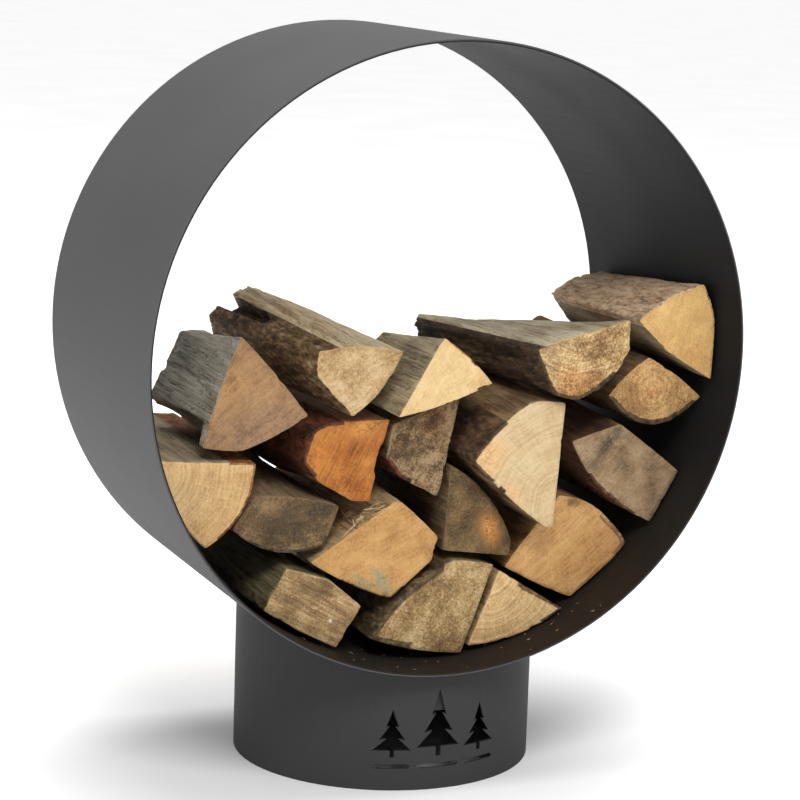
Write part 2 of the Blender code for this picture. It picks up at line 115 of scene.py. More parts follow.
# Each log's finish, with colours as display values from dark through middle to light.
# end, side, bark: the sawn end, the split faces and the bark. Many side colours are set lighter than the
# wood, most of all on log_left_upper, log_knotty_top and log_top_half: painted light for faces that the lamps
# reach poorly.
# arcs: where bark lies, in degrees counter-clockwise from +X seen from the front, about the front
# end's middle.
# pith: where the rings centre, in millimetres from that middle.
# grain: how strongly mottling, fine flecks, saw marks and rings show.
# streak: direction of the saw marks in degrees, counter-clockwise from +X.
# tilt: how far the end leans back towards +X and towards +Z, as a slope.
# rough: coarseness of the end in millimetres. layer: thickness of the bark seen on the end in millimetres.
# cuts: hollows in the side as (direction, half width, start, finish, depth). Direction and half width are in
# degrees, and depth is in millimetres: below nothing it is a swelling. A hollow deepens between start and
# finish, as shares of the length from the front, and runs on to the back.
# spots: stains on the end as (x, z, radius, colour, strength, stretch, angle), in millimetres from that
# middle.
LOG_STYLES = {
    "log_left_upper": dict(
        slot="wood_grey",
        end=((105, 75, 55), (145, 110, 75), (170, 135, 95)),
        # side: lighter than the wood, as painted light on the left face.
        side=((145, 135, 120), (200, 190, 170), (230, 220, 205)),
        bark=((60, 48, 38), (96, 82, 68), (126, 112, 94)),
        arcs=((-70, -20),), pith=(48, -60), grain=(1.1, 0.8, 0.6, 0.15), streak=38, tilt=(0.02, 0.05),
        rough=0.4, layer=0, cuts=((234, 32, 0.07, 0.10, 12), (150, 4, 0.1, 0.4, 1.5)),
        spots=((10, -26, 30, (150, 120, 94), 0.7, 1.8, 20), (-20, 22, 20, (190, 146, 92), 0.5, 1.0, 0)),
    ),
    "log_knotty_top": dict(
        slot="wood_tan",
        end=((145, 110, 70), (180, 150, 105), (205, 180, 140)),
        # side: lighter than the wood, as painted light on the split faces.
        side=((140, 112, 80), (206, 182, 144), (234, 216, 182)),
        bark=((48, 33, 22), (110, 84, 54), (176, 146, 104)),
        arcs=((124, 262),), pith=(60, -70), grain=(1.2, 1.3, 0.4, 0.2), streak=30, tilt=(0.0, 0.06),
        rough=0.9, layer=0, cuts=((137, 11, 0.5, 0.78, 15), (105, 5, 0.05, 0.4, 3), (75, 4, 0.25, 0.6, 2.5)),
        spots=((18, -8, 10, (176, 138, 92), 0.5, 1.0, 0),),
    ),
    "log_pale_wedge": dict(
        slot="wood_pale",
        end=((180, 145, 95), (205, 175, 125), (220, 195, 150)),
        side=((96, 82, 60), (164, 148, 118), (200, 184, 154)),
        bark=((112, 70, 40), (172, 116, 66), (200, 146, 90)),
        arcs=((18, 88),), pith=(-52, -26), grain=(0.7, 0.6, 0.4, 0.15), streak=52, tilt=(0.0, 0.03),
        rough=0.3, layer=0.9, cuts=((-12, 4, -1, -0.5, 3.5),),
        spots=((34, 4, 12, (204, 158, 102), 0.4, 1.0, 0),),
    ),
    "log_left_half": dict(
        slot="wood_pale",
        end=((160, 120, 75), (195, 160, 110), (215, 185, 135)),
        side=((122, 104, 78), (168, 150, 120), (196, 180, 150)),
        bark=((84, 50, 30), (140, 88, 50), (180, 124, 74)),
        arcs=((-75, 52),), pith=(-46, 22), grain=(0.7, 0.7, 0.4, 0.45), streak=80, tilt=(0.03, 0.02),
        rough=0.35, layer=1.8, cuts=(),
        spots=((-34, 26, 22, (222, 184, 128), 0.5, 1.0, 0), (6, -36, 22, (186, 142, 90), 0.5, 1.6, 80)),
    ),
    "log_top_half": dict(
        slot="wood_tan",
        end=((100, 75, 45), (170, 135, 90), (215, 190, 135)),
        # side: lighter than the wood, as painted light on the top face.
        side=((124, 108, 84), (190, 174, 144), (216, 202, 174)),
        bark=((38, 27, 18), (72, 54, 36), (112, 88, 60)),
        arcs=((-200, -20),), pith=(0, 60), grain=(1.2, 1.4, 0.3, 0.55), streak=-12, tilt=(0.02, 0.12),
        rough=1.3, layer=3.0,
        cuts=((176, 6, 0.02, 0.2, 5), (60, 4, 0.1, 0.5, 2.5), (215, 26, 0.2, 0.6, -4.5)),
        spots=((-40, 14, 22, (136, 114, 86), 0.7, 1.4, -10), (-8, -24, 18, (200, 140, 82), 0.6, 1.6, -30)),
    ),
    "log_right_upper": dict(
        slot="wood_pale",
        end=((170, 125, 75), (200, 160, 100), (220, 185, 125)),
        side=((96, 76, 56), (140, 120, 92), (172, 152, 122)),
        bark=((160, 124, 92), (210, 176, 140), (226, 198, 166)),
        arcs=((30, 178),), pith=(6, -30), grain=(0.6, 0.8, 0.25, 0.12), streak=64, tilt=(0.0, 0.04),
        rough=0.3, layer=1.2, cuts=((100, 5, 0.1, 0.5, 2.5),),
        spots=((6, -36, 16, (200, 152, 92), 0.5, 1.0, 0),),
    ),
    "log_right_round": dict(
        slot="wood_tan",
        end=((115, 85, 50), (180, 140, 90), (220, 180, 125)),
        side=((60, 44, 30), (104, 80, 54), (140, 112, 78)),
        bark=((40, 28, 20), (78, 58, 38), (110, 84, 56)),
        arcs=((-180, -10),), pith=(0, 4), grain=(0.8, 1.2, 0.3, 0.35), streak=92, tilt=(0.02, 0.02),
        rough=0.7, layer=4.2, cuts=(),
        spots=((2, 2, 8, (178, 112, 60), 0.6, 1.0, 0), (-22, -8, 20, (150, 108, 66), 0.5, 1.5, 60)),
    ),
    "log_right_block": dict(
        slot="wood_grey",
        end=((100, 80, 55), (140, 115, 85), (165, 140, 110)),
        side=((55, 40, 25), (95, 65, 45), (125, 95, 65)),
        bark=((50, 32, 20), (92, 60, 36), (128, 90, 56)),
        arcs=((-178, -64),), pith=(20, 60), grain=(1.2, 0.8, 0.5, 0.2), streak=44, tilt=(0.01, 0.03),
        rough=0.45, layer=2.4, cuts=(),
        spots=((-22, 25, 7, (56, 52, 46), 1.0, 6.0, 47), (-36, 4, 18, (120, 92, 66), 0.5, 1.5, 40)),
    ),
    "log_centre_quarter": dict(
        slot="wood_pale",
        end=((165, 135, 95), (190, 165, 125), (205, 185, 145)),
        side=((72, 52, 34), (116, 90, 60), (156, 128, 92)),
        bark=((40, 28, 20), (80, 58, 38), (118, 90, 60)),
        arcs=((122, 234),), pith=(44, -52), grain=(0.7, 0.5, 0.4, 0.5), streak=20, tilt=(0.01, 0.03),
        rough=0.3, layer=2.4, cuts=((104, 24, 0.3, 0.7, -4),),
        spots=((-40, 4, 17, (222, 172, 114), 0.7, 1.5, 60), (-14, -36, 11, (212, 160, 108), 0.65, 1.2, -60)),
    ),
    "log_centre_block": dict(
        slot="wood_grey",
        end=((60, 45, 30), (115, 90, 60), (160, 135, 100)),
        side=((56, 44, 30), (100, 80, 56), (140, 118, 88)),
        bark=((46, 22, 16), (96, 46, 32), (130, 70, 48)),
        arcs=((196, 250),), pith=(40, 50), grain=(2.2, 1.7, 0.9, 0.3), streak=60, tilt=(0.02, 0.03),
        rough=0.7, layer=2.6, cuts=(),
        spots=((10, 24, 16, (130, 82, 54), 0.5, 1.4, 60), (-14, -8, 18, (84, 66, 46), 0.5, 1.0, 0)),
    ),
    "log_orange": dict(
        slot="wood_orange",
        end=((110, 60, 25), (160, 95, 40), (185, 125, 60)),
        side=((78, 48, 28), (124, 82, 50), (160, 116, 74)),
        # bark: darkened partly as painted shade, for the left side that lies in shadow.
        bark=((44, 22, 14), (88, 46, 26), (128, 74, 42)),
        arcs=((96, 212),), pith=(60, -50), grain=(1.0, 0.8, 0.9, 0.25), streak=62, tilt=(0.0, 0.04),
        rough=0.5, layer=2.6, cuts=((-8, 26, -1, -0.5, 3.0), (212, 34, 0.2, 0.5, -7)),
        spots=((18, 26, 12, (222, 160, 88), 0.5, 2.0, 10), (-30, 0, 16, (206, 132, 60), 0.6, 1.0, 0)),
    ),
    "log_left_slab": dict(
        slot="wood_grey",
        end=((50, 40, 25), (95, 75, 50), (140, 115, 80)),
        side=((70, 54, 40), (120, 98, 72), (152, 130, 98)),
        bark=((40, 30, 22), (76, 58, 42), (112, 88, 62)),
        arcs=((-160, -20),), pith=(-10, 60), grain=(1.1, 1.3, 0.3, 0.15), streak=12, tilt=(0.01, 0.05),
        rough=0.6, layer=2.2, cuts=((80, 40, 0.30, 0.8, -8),),
        spots=((8, 4, 26, (84, 70, 50), 0.7, 1.5, 0), (-44, -8, 14, (140, 108, 80), 0.6, 1.2, 50)),
    ),
    "log_bottom_block": dict(
        slot="wood_grey",
        end=((100, 75, 50), (155, 125, 85), (200, 170, 125)),
        side=((62, 54, 36), (104, 94, 66), (136, 124, 92)),
        bark=((44, 36, 26), (80, 68, 48), (108, 94, 68)),
        arcs=((170, 215),), pith=(70, 40), grain=(0.8, 0.9, 1.0, 0.1), streak=-28, tilt=(0.02, 0.04),
        rough=0.5, layer=0.6, cuts=(),
        spots=((-4, 12, 16, (104, 82, 54), 0.6, 2.2, 28), (18, -15, 2.4, (246, 236, 220), 1.0, 1.0, 0)),
    ),
    "log_low_tan": dict(
        slot="wood_tan",
        end=((145, 105, 60), (185, 140, 85), (200, 160, 105)),
        side=((120, 96, 64), (174, 144, 100), (206, 180, 136)),
        bark=((58, 42, 28), (104, 80, 52), (138, 108, 72)),
        arcs=((-150, -60),), pith=(-10, 60), grain=(0.9, 0.8, 0.5, 0.15), streak=28, tilt=(0.0, 0.04),
        rough=0.35, layer=1.0, cuts=(),
        spots=((-2, -26, 6, (128, 146, 122), 0.8, 3.4, 122), (-20, -28, 5, (138, 148, 116), 0.65, 3.0, 140),
               (24, 20, 9, (150, 104, 58), 0.6, 1.8, 40), (2, -44, 5, (120, 70, 40), 0.7, 1.0, 0)),
    ),
    "log_bottom_quarter": dict(
        slot="wood_tan",
        end=((105, 80, 50), (160, 130, 85), (200, 175, 130)),
        side=((80, 64, 42), (130, 108, 72), (164, 142, 102)),
        bark=((46, 36, 26), (88, 70, 48), (132, 110, 78)),
        arcs=((80, 232),), pith=(46, -50), grain=(1.3, 1.5, 0.5, 0.25), streak=48, tilt=(0.01, 0.05),
        rough=0.7, layer=6.0, cuts=(),
        spots=((24, 28, 16, (176, 148, 98), 0.5, 1.0, 0), (-34, -20, 14, (150, 126, 80), 0.5, 1.0, 0)),
    ),
    "log_bottom_wedge": dict(
        slot="wood_pale",
        end=((160, 125, 80), (200, 165, 115), (225, 195, 145)),
        side=((110, 84, 52), (160, 130, 88), (192, 164, 118)),
        bark=((58, 42, 28), (104, 78, 50), (150, 120, 80)),
        arcs=((-20, 75),), pith=(-26, 48), grain=(0.8, 0.9, 0.3, 0.7), streak=80, tilt=(0.0, 0.04),
        rough=0.35, layer=3.2, cuts=(),
        spots=(),
    ),
    "log_right_tan": dict(
        slot="wood_orange",
        end=((150, 105, 60), (190, 145, 90), (210, 170, 115)),
        side=((96, 66, 40), (148, 108, 68), (186, 146, 98)),
        bark=((96, 66, 42), (164, 126, 86), (206, 172, 130)),
        arcs=((-12, 40),), pith=(-20, 70), grain=(0.7, 0.7, 0.8, 0.12), streak=40, tilt=(0.0, 0.03),
        rough=0.35, layer=4.2, cuts=(),
        spots=((-44, -4, 20, (212, 168, 112), 0.7, 1.6, 70), (6, 44, 6, (84, 56, 38), 0.8, 1.6, 0)),
    ),
    "log_centre_dark": dict(
        slot="wood_grey",
        end=((50, 40, 25), (95, 75, 45), (130, 105, 70)),
        side=((52, 40, 28), (92, 74, 50), (128, 106, 76)),
        bark=((46, 34, 24), (86, 66, 44), (122, 96, 66)),
        arcs=((20, 100),), pith=(-36, -40), grain=(1.4, 1.3, 0.4, 0.2), streak=70, tilt=(0.01, 0.03),
        rough=0.6, layer=1.8, cuts=(),
        spots=((17, -10, 12, (206, 140, 74), 0.9, 1.6, 105), (-14, -30, 16, (136, 112, 78), 0.5, 1.5, 0)),
    ),
}


# --- Node helpers -------------------------------------------------------------------------------------------

def put(tree, kind, inputs=None, **settings):
    """Adds a shader node. An input is given by name or number, as a value or as the socket that feeds it."""
    made = tree.nodes.new("ShaderNode" + kind)
    for name, value in settings.items():
        setattr(made, name, value)
    for name, value in (inputs or {}).items():
        if isinstance(value, bpy.types.NodeSocket):
            tree.links.new(value, made.inputs[name])
        else:
            made.inputs[name].default_value = value
    return made


def math_node(tree, operation, first, second=0.0, third=0.0):
    return put(tree, "Math", {0: first, 1: second, 2: third}, operation=operation).outputs[0]


def mix(tree, share, first, second, blend="MIX"):
    made = put(tree, "Mix", {0: share, 6: first, 7: second}, data_type="RGBA", blend_type=blend)
    return made.outputs[2]


def spread(tree, value, low, high, start=0.0, end=1.0):
    """value from low..high stretched smoothly to start..end, and clamped."""
    made = put(
        tree, "MapRange", {0: value, 1: low, 2: high, 3: start, 4: end},
        interpolation_type="SMOOTHSTEP",
    )
    return made.outputs[0]


def scaled(tree, vector, scale, turn=0.0, move=(0, 0, 0)):
    """Coordinates turned about Y in degrees and moved, then scaled."""
    turned = put(tree, "Mapping", {0: vector, 1: move, 2: (0, math.radians(turn), 0)}, vector_type="POINT")
    return put(tree, "Mapping", {0: turned.outputs[0], 3: scale}, vector_type="POINT").outputs[0]


def speckle(tree, vector, size=1.0, detail=4.0, roughness=0.55, distortion=0.0):
    made = put(
        tree, "TexNoise",
        {"Vector": vector, "Scale": size, "Detail": detail, "Roughness": roughness, "Distortion": distortion},
    )
    return made.outputs[0]


def start_material(name):
    material = bpy.data.materials.new(name)
    material.use_nodes = True
    tree = material.node_tree
    shader = tree.nodes["Principled BSDF"]
    coordinates = put(tree, "TexCoord").outputs["Object"]
    return material, tree, shader, coordinates


def finish_surface(tree, shader, colour, roughness, height, depth):
    """Wires colour, roughness and a bump of that depth into the shader."""
    bump = put(tree, "Bump", {"Height": height, "Distance": depth, "Strength": 1.0})
    tree.links.new(colour, shader.inputs["Base Color"])
    tree.links.new(roughness, shader.inputs["Roughness"])
    tree.links.new(bump.outputs[0], shader.inputs["Normal"])


# --- Wood ---------------------------------------------------------------------------------------------------

def tones(tree, value, colours):
    """A value from 0 to 1 as a colour between dark, middle and light."""
    ramp = put(tree, "ValToRGB", {0: value})
    stops = ramp.color_ramp.elements
    stops[0].position, stops[0].color = 0.12, paint(*colours[0])
    stops[1].position, stops[1].color = 0.88, paint(*colours[2])
    stops.new(0.5).color = paint(*colours[1])
    return ramp.outputs[0]


def total(tree, terms):
    """One half plus each noise's distance from one half times its weight."""
    value = 0.5
    for source, weight in terms:
        value = math_node(tree, "MULTIPLY_ADD", math_node(tree, "SUBTRACT", source, 0.5), weight, value)
    return value


def end_grain(tree, style, middle, place, coordinates, seed):
    """Colour and relief of the sawn end."""
    mottle, fleck, mark, ring = style["grain"]
    turn = style["streak"]
    blotch = speckle(tree, scaled(tree, place, (38, 38, 38)), detail=5, roughness=0.62)
    flecks = speckle(tree, scaled(tree, place, (420, 420, 420)), detail=3, roughness=0.7)
    pores = speckle(tree, scaled(tree, place, (1300, 400, 1300)), detail=2, roughness=0.6)
    saw = speckle(tree, scaled(tree, place, (46, 30, 520), turn=turn), detail=4, roughness=0.65)
    band = speckle(tree, scaled(tree, place, (14, 20, 130), turn=turn), detail=3)

    pith = (middle[0] + style["pith"][0] * MM, 0.0, middle[1] + style["pith"][1] * MM)
    about = put(tree, "VectorMath", {0: coordinates, 1: pith}, operation="SUBTRACT").outputs[0]
    flat = put(tree, "VectorMath", {0: about, 1: (1, 0, 1)}, operation="MULTIPLY").outputs[0]
    away = put(tree, "VectorMath", {0: flat}, operation="LENGTH").outputs["Value"]
    wobble = speckle(tree, scaled(tree, place, (30, 30, 30), move=(4, 4, 4)), detail=2)
    wavy = math_node(tree, "MULTIPLY_ADD", wobble, RING_WANDER, away)
    line = put(tree, "CombineXYZ", {0: math_node(tree, "MULTIPLY", wavy, RING_STEPS), 1: seed}).outputs[0]
    rings = speckle(tree, line, detail=2, roughness=0.5)
    split = put(tree, "SeparateXYZ", {0: flat})
    angle = math_node(tree, "ARCTAN2", split.outputs[2], split.outputs[0])
    fan = put(tree, "CombineXYZ", {0: math_node(tree, "MULTIPLY", angle, 26.0),
                                   1: math_node(tree, "MULTIPLY", away, 26.0), 2: seed}).outputs[0]
    rays = speckle(tree, fan, size=1.6, detail=3, roughness=0.6)

    value = total(tree, (
        (blotch, 1.5 * mottle), (flecks, 1.0 * fleck), (pores, 0.8 * fleck),
        (saw, 1.2 * mark), (band, 0.7 * mark),
        (rings, 1.9 * ring), (rays, 0.5 * ring + 0.25),
    ))
    colour = tones(tree, value, style["end"])
    for x, z, radius, tint, strength, stretch, lean in style["spots"]:
        spot = (middle[0] + x * MM, 0.0, middle[1] + z * MM)
        off = put(tree, "VectorMath", {0: coordinates, 1: spot}, operation="SUBTRACT").outputs[0]
        off = scaled(tree, off, (1 / stretch, 0, 1), turn=lean)
        off = put(tree, "VectorMath", {0: off}, operation="LENGTH").outputs["Value"]
        for source, weight in ((blotch, 2.4), (flecks, 2.6), (saw, 1.0)):
            drift = math_node(tree, "SUBTRACT", source, 0.5)
            off = math_node(tree, "MULTIPLY_ADD", drift, weight * radius * MM, off)
        stains = [[min(part * gain, 255) for part in tint] for gain in TINT_GAINS]
        share = spread(tree, off, radius * 1.35 * MM, radius * 0.25 * MM, 0.0, strength)
        share = math_node(tree, "MULTIPLY", share, spread(tree, flecks, 0.40, 0.57, 0.4, 1.0))
        colour = mix(tree, share, colour, tones(tree, value, stains))
    scored = math_node(tree, "MULTIPLY", saw, 0.9 * mark)
    relief = math_node(tree, "MULTIPLY_ADD", flecks, 0.5 + fleck, scored)
    return colour, relief, flecks


def wood_material(name, style, middle, seed):
    """Sawn end, split side and bark of one log, told apart by the mesh's own attributes."""
    material, tree, shader, coordinates = start_material("wood_" + name)
    shift = (seed * 0.37, seed * 0.11, seed * 0.53)
    place = put(tree, "VectorMath", {0: coordinates, 1: shift}, operation="ADD").outputs[0]
    mask = {
        label: put(tree, "Attribute", attribute_name=label).outputs["Fac"]
        for label in ("end_face", "bark", "rim", "wear", "groove")
    }
    end, end_relief, flecks = end_grain(tree, style, middle, place, coordinates, seed)
    light = paint(*style["end"][2])

    # Split side: long fibres, broad bands and weathered patches
    fibre = speckle(tree, scaled(tree, place, (600, 14, 600)), detail=5, roughness=0.65)
    band = speckle(tree, scaled(tree, place, (110, 9, 110)), detail=3)
    patch = speckle(tree, scaled(tree, place, (30, 16, 30), move=(2, 5, 1)), detail=5, roughness=0.6)
    value = total(tree, ((fibre, 1.3), (band, 1.1), (patch, 1.2), (flecks, 0.5)))
    side = tones(tree, value, style["side"])
    # Painted shade: cracks and hollows in the split faces darkened towards near black.
    side = mix(tree, math_node(tree, "MULTIPLY", mask["groove"], 0.7), side, paint(34, 25, 18))
    side = mix(tree, math_node(tree, "MULTIPLY", mask["wear"], 0.45), side, light)

    # Bark: furrowed plates
    plates = speckle(tree, scaled(tree, place, (150, 60, 150)), detail=6, roughness=0.66)
    value = total(tree, ((plates, 2.0), (patch, 1.0), (flecks, 0.7)))
    bark = tones(tree, value, style["bark"])
    # Painted shade in the bark's furrows.
    bark = mix(tree, math_node(tree, "MULTIPLY", mask["groove"], 0.6), bark, paint(24, 17, 12))

    # The rim of the end: a worn light or dirty edge, and the bark layer in section
    rim = math_node(tree, "MULTIPLY_ADD", math_node(tree, "SUBTRACT", plates, 0.5), 3.5 * MM, mask["rim"])
    end = mix(tree, spread(tree, rim, 0.0, 1.6 * MM, 0.4, 0.0), end, light)
    thick = style["layer"] * MM
    if thick:
        barked = spread(tree, mask["bark"], 0.35, 0.65)
        line = math_node(tree, "MULTIPLY", spread(tree, rim, thick, thick * 1.35, 0.8, 0.0), barked)
        layer = math_node(tree, "MULTIPLY", spread(tree, rim, thick * 0.7, thick, 1.0, 0.0), barked)
        end = mix(tree, line, end, paint(*style["bark"][0]))
        end = mix(tree, layer, end, bark)

    side = mix(tree, spread(tree, mask["bark"], 0.42, 0.58), side, bark)
    colour = mix(tree, mask["end_face"], side, end)

    side_relief = math_node(tree, "MULTIPLY", fibre, 1.5)
    bark_relief = math_node(tree, "MULTIPLY", plates, mask["bark"])
    side_relief = math_node(tree, "MULTIPLY_ADD", bark_relief, 2.0, side_relief)
    both = {0: mask["end_face"], 2: side_relief, 3: end_relief}
    relief = put(tree, "Mix", both, data_type="FLOAT").outputs[0]
    roughness = spread(tree, flecks, 0.3, 0.7, 0.68, 0.92)
    finish_surface(tree, shader, colour, roughness, relief, 1.0 * MM)
    shader.inputs["Specular IOR Level"].default_value = 0.3
    return material


def end_sections(node):
    """The outlines (x, z) of a log's front and back ends, and their places along Y, from its CAD solid."""
    points = np.array([vertex.co for vertex in node.data.vertices], float)
    found = []
    for level in (points[:, 1].min(), points[:, 1].max()):
        flat = points[np.abs(points[:, 1] - level) < SECTION_TOLERANCE][:, (0, 2)]
        flat = np.unique(np.round(flat, 6), axis=0)
        centre = flat.mean(0)
        order = np.argsort(np.arctan2(flat[:, 1] - centre[1], flat[:, 0] - centre[0]))
        found.append((flat[order], level))
    return found


def area_centre(outline):
    following = np.roll(outline, -1, axis=0)
    cross = outline[:, 0] * following[:, 1] - following[:, 0] * outline[:, 1]
    return ((outline + following) * cross[:, None]).sum(0) / (3 * cross.sum())


def reach(outline, centre, angles):
    """Distance from centre to a convex outline in each direction, its corners softened."""
    start = outline - centre
    edge = np.roll(start, -1, axis=0) - start
    normal = np.stack((edge[:, 1], -edge[:, 0]), 1)
    length = np.linalg.norm(normal, axis=1)
    keep = length > 1e-6
    normal = normal[keep] / length[keep, None]
    depth = (normal * start[keep]).sum(1)
    direction = np.stack((np.cos(angles), np.sin(angles)), 1)
    share = np.clip(direction @ normal.T, 1e-4, None) / depth
    largest = share.max(1)
    soft = ((share / largest[:, None]) ** CORNER_SHARPNESS).sum(1) ** (1 / CORNER_SHARPNESS)
    return 1 / (largest * soft)


def even_angles(outlines, centres):
    """Directions whose steps along the mean outline are even."""
    fine = np.linspace(-math.pi, math.pi, 4000, endpoint=False)
    radius = sum(reach(outline, centre, fine) for outline, centre in zip(outlines, centres)) / 2
    places = np.stack((np.cos(fine) * radius, np.sin(fine) * radius), 1)
    steps = np.linalg.norm(np.roll(places, -1, axis=0) - places, axis=1)
    walked = np.concatenate(((0.0,), np.cumsum(steps)))
    wanted = np.linspace(0, walked[-1], AROUND, endpoint=False)
    return np.interp(wanted, walked, np.append(fine, math.pi))


def smooth(value, low, high):
    share = np.clip((value - low) / (high - low), 0, 1)
    return share * share * (3 - 2 * share)


def bark_share(angles, arcs):
    """1 where bark lies and 0 elsewhere, with soft ends to each arc."""
    degrees = np.degrees(angles)
    share = np.zeros(len(angles))
    for start, end in arcs:
        middle, half = (start + end) / 2, (end - start) / 2
        away = np.abs((degrees - middle + 180) % 360 - 180)
        share = np.maximum(share, 1 - smooth(away, half - ARC_SOFTNESS, half + ARC_SOFTNESS))
    return share


def field(points, scale, seed, octaves=4):
    """Fractal noise at each point, after scaling its coordinates."""
    offset = Vector((seed * 3.7, seed * 1.9, seed * 5.3))
    values = np.empty(len(points))
    for index, (x, y, z) in enumerate(points):
        place = Vector((x * scale[0], y * scale[1], z * scale[2])) + offset
        values[index] = noise.fractal(place, 0.9, 2.1, octaves)
    return values


def build_log(name, style, seed):
    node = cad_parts[name]
    (front, front_y), (back, back_y) = end_sections(node)
    centres = area_centre(front), area_centre(back)
    angles = even_angles((front, back), centres)
    radii = reach(front, centres[0], angles), reach(back, centres[1], angles)
    share = np.linspace(0, 1, ALONG) ** ROW_SPACING
    bark_round = bark_share(angles, style["arcs"])

    centre = centres[0] + (centres[1] - centres[0]) * share[:, None]
    radius = radii[0] + (radii[1] - radii[0]) * share[:, None]
    unit = np.stack((np.cos(angles), np.sin(angles)), 1)
    x = centre[:, 0, None] + radius * unit[:, 0]
    z = centre[:, 1, None] + radius * unit[:, 1]
    y = np.repeat((front_y + (back_y - front_y) * share)[:, None], AROUND, axis=1)
    points = np.stack((x, y, z), 2).reshape(-1, 3)

    # Bark comes and goes along the log. Split faces have long fibres, bark has furrows; cracks and furrows
    # are cut in, and marked as groove for painted shade.
    patch = field(points, (22, 9, 22), seed + 11, 3)
    bark = np.clip(np.tile(bark_round, ALONG) - smooth(patch, 0.45, 0.7), 0, 1)
    wave = field(points, (24, 9, 24), seed, 3)
    fibre = field(points, (190, 9, 190), seed + 1, 4)
    line = field(points, (95, 7, 95), seed + 2, 3)
    furrow = field(points, (120, 34, 120), seed + 3, 4)
    wood_groove = smooth(1 - np.abs(line), 0.955, 0.998)
    bark_groove = smooth(1 - np.abs(furrow), 0.86, 0.99)
    groove = wood_groove * (1 - bark) * 0.9 + bark_groove * bark
    depth = 0.3 * MM + wave * 1.3 * MM + fibre * 0.5 * MM * (1 - bark)
    depth += bark * furrow * 0.8 * MM
    depth += groove * np.where(bark > 0.5, 1.2 * MM, 0.8 * MM)
    near_front = points[:, 1] - front_y
    near_back = back_y - points[:, 1]
    depth *= 0.3 + 0.7 * smooth(near_front, 0.0, CALM_LENGTH)
    depth = np.maximum(depth, -GRAIN_OUTWARDS)

    # Hollows and swellings that the style asks for, ragged along their edges
    degrees = np.degrees(np.tile(angles, ALONG)) + 4 * wave
    along = near_front / (back_y - front_y) + 0.02 * wave
    for direction, half_width, start, finish, amount in style["cuts"]:
        away = np.abs((degrees - direction + 180) % 360 - 180)
        hollow = (1 - smooth(away, half_width * 0.8, half_width * 1.15)) * smooth(along, start, finish)
        depth += hollow * amount * MM
        # Hollows are marked for painted shade too, the deeper the darker.
        groove = np.maximum(groove, hollow * np.clip(amount / 14, 0, 0.8))

    # Chips and rounding where the sides meet the front and back ends
    chip = field(points, (80, 50, 80), seed + 4, 4)
    chipped = smooth(chip, 0.15, 0.8)
    depth += chipped * 1.3 * MM * (1 - smooth(near_front, 1.0 * MM, 8 * MM))
    depth += chipped * 2.6 * MM * (1 - smooth(near_back, 2 * MM, 14 * MM))
    depth += 0.3 * MM * (1 - smooth(near_front, 0.0, 1.4 * MM))
    depth += 0.7 * MM * (1 - smooth(near_back, 0.0, 2.2 * MM))
    flat_radius = radius.reshape(-1)
    new_radius = np.maximum(flat_radius - depth, flat_radius * 0.5)
    tiled_unit = np.tile(unit, (ALONG, 1))
    flat_centre = np.repeat(centre, AROUND, axis=0)
    points[:, 0] = flat_centre[:, 0] + new_radius * tiled_unit[:, 0]
    points[:, 2] = flat_centre[:, 1] + new_radius * tiled_unit[:, 1]
    wear = (1 - smooth(near_front, 0.5 * MM, 5 * MM)) * smooth(chip, -0.1, 0.3) * (1 - bark)

    lean_x, lean_z = style["tilt"]
    rows = points.reshape(ALONG, AROUND, 3)

    def lean(place, centre_here, room):
        """How far an end's point sits back, never less than nothing."""
        off = (place[:, 0] - centre_here[0]) * lean_x + (place[:, 2] - centre_here[1]) * lean_z
        return np.maximum(off + room, 0.0)

    front_room = -(radii[0] * (unit[:, 0] * lean_x + unit[:, 1] * lean_z)).min()
    fade = (1 - smooth(share, 0.0, LEAN_SHARE))[:, None]
    rows[:, :, 1] += fade * lean(rows[0], centres[0], front_room)[None, :]

    # End faces: rings of points that close in on the middle
    inward = 1 - (np.arange(1, CAP_RINGS + 1) / (CAP_RINGS + 0.5)) ** CAP_SPACING
    caps = []
    for which, row in ((0, rows[0]), (1, rows[-1])):
        middle = np.array((centres[which][0], row[:, 1].mean(), centres[which][1]))
        cap = middle + (row[None, :, :] - middle) * inward[:, None, None]
        if which == 0:
            cap[:, :, 1] = (front_y + lean(cap.reshape(-1, 3), centres[0], front_room)).reshape(cap.shape[:2])
        else:
            cap[:, :, 1] = row[:, 1].mean()
        flat = cap.reshape(-1, 3)
        grain = field(flat, (95, 0, 95), seed + 6, 4)
        bow = field(flat, (22, 0, 22), seed + 7, 2)
        sink = (0.5 + 0.55 * grain) * style["rough"] * MM + (0.5 + bow) * 0.9 * MM * style["rough"]
        sink = np.maximum(sink, 0) * (1 if which == 0 else -1)
        flat[:, 1] += sink
        caps.append(flat)

    vertices = [points]
    for cap in caps:
        vertices.append(cap)
        vertices.append(cap[-AROUND:].mean(0)[None, :])
    vertices = np.concatenate(vertices)

    side_count = ALONG * AROUND
    cap_count = CAP_RINGS * AROUND
    faces = []
    for row in range(ALONG - 1):
        for step in range(AROUND):
            after = (step + 1) % AROUND
            low, high = row * AROUND, (row + 1) * AROUND
            faces.append((low + step, high + step, high + after, low + after))
    side_faces = len(faces)
    for which, (edge, first, flip) in enumerate(
        ((0, side_count, False), ((ALONG - 1) * AROUND, side_count + cap_count + 1, True))
    ):
        rings = [edge] + [first + ring * AROUND for ring in range(CAP_RINGS)]
        hub = first + cap_count
        made = []
        for outer, inner in zip(rings, rings[1:]):
            for step in range(AROUND):
                after = (step + 1) % AROUND
                made.append((outer + step, outer + after, inner + after, inner + step))
        for step in range(AROUND):
            made.append((rings[-1] + step, rings[-1] + (step + 1) % AROUND, hub))
        faces += [face[::-1] for face in made] if flip else made

    mesh = bpy.data.meshes.new(name + "_split")
    mesh.from_pydata(vertices.tolist(), [], faces)
    mesh.update()
    mesh.shade_smooth()

